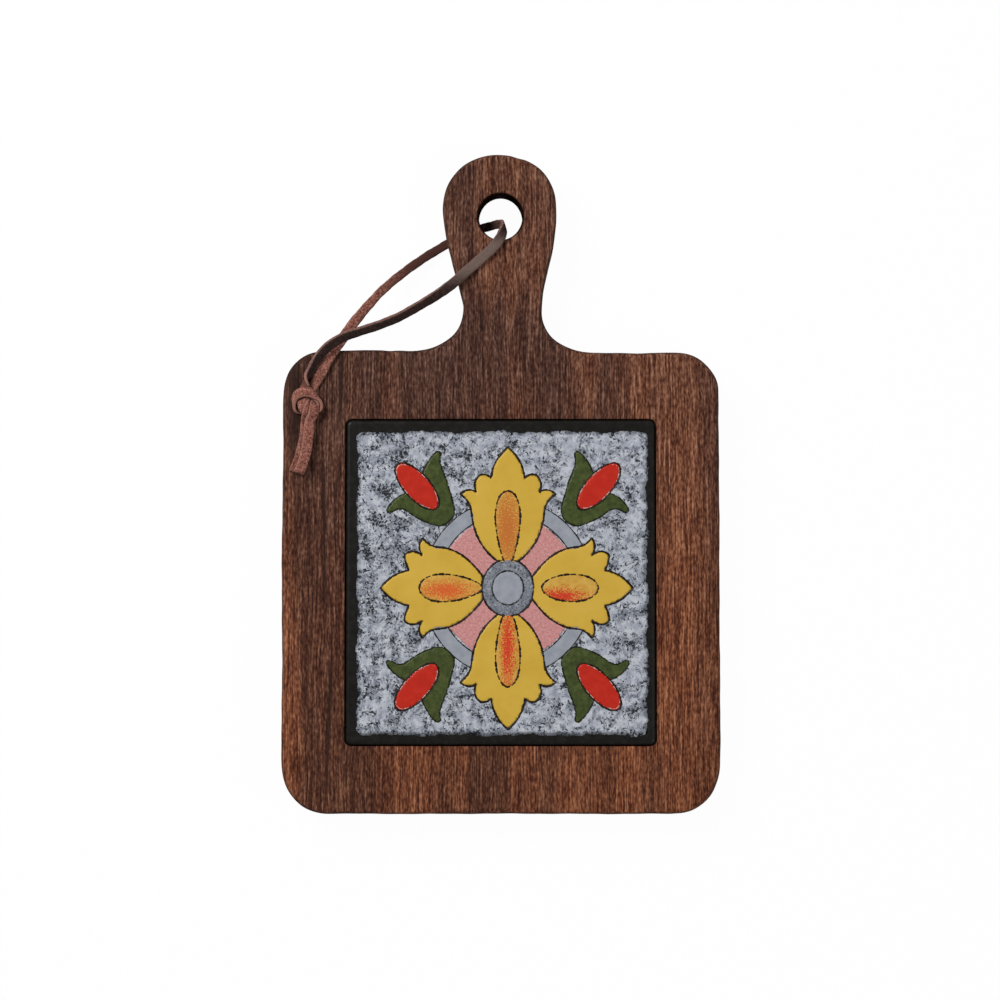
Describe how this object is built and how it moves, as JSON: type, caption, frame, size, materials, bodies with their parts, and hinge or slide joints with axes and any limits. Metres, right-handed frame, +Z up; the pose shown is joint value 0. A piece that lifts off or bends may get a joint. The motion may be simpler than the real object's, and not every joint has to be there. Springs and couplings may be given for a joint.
{
  "type": "wooden coaster",
  "caption": "Paddle-shaped wooden coaster with a rounded handle, a glazed tile inset to stand cups or a small pot on, and a leather lace to hang it by.",
  "frame": {"origin": "on the table under the middle of the board's overall length and width", "axes": "+Y along the board towards the handle, +Z up out of the tile, +X to the right seen from above with the handle away"},
  "size_m": [0.142, 0.2144, 0.0203],
  "materials": {
    "wood": "dark brown stain, oiled, open straight grain",
    "glazed_ceramic": "glazed ceramic, painted ornament on a mottled blue-grey ground",
    "adhesive": "cured flexible adhesive",
    "foot_rubber": "matt moulded rubber",
    "lace_leather": "brown leather, smooth on one side and suede on the other"
  },
  "bodies": {
    "root": {"board": "wood", "ceramic_tile": "glazed_ceramic", "adhesive_dab_1": "adhesive", "adhesive_dab_2": "adhesive", "adhesive_dab_3": "adhesive", "adhesive_dab_4": "adhesive", "adhesive_dab_5": "adhesive", "foot_1": "foot_rubber", "foot_2": "foot_rubber", "foot_3": "foot_rubber", "foot_4": "foot_rubber", "lace_loop": "lace_leather", "lace_knot": "lace_leather", "lace_tail_upper": "lace_leather", "lace_tail_lower": "lace_leather"}
  },
  "joints": []
}
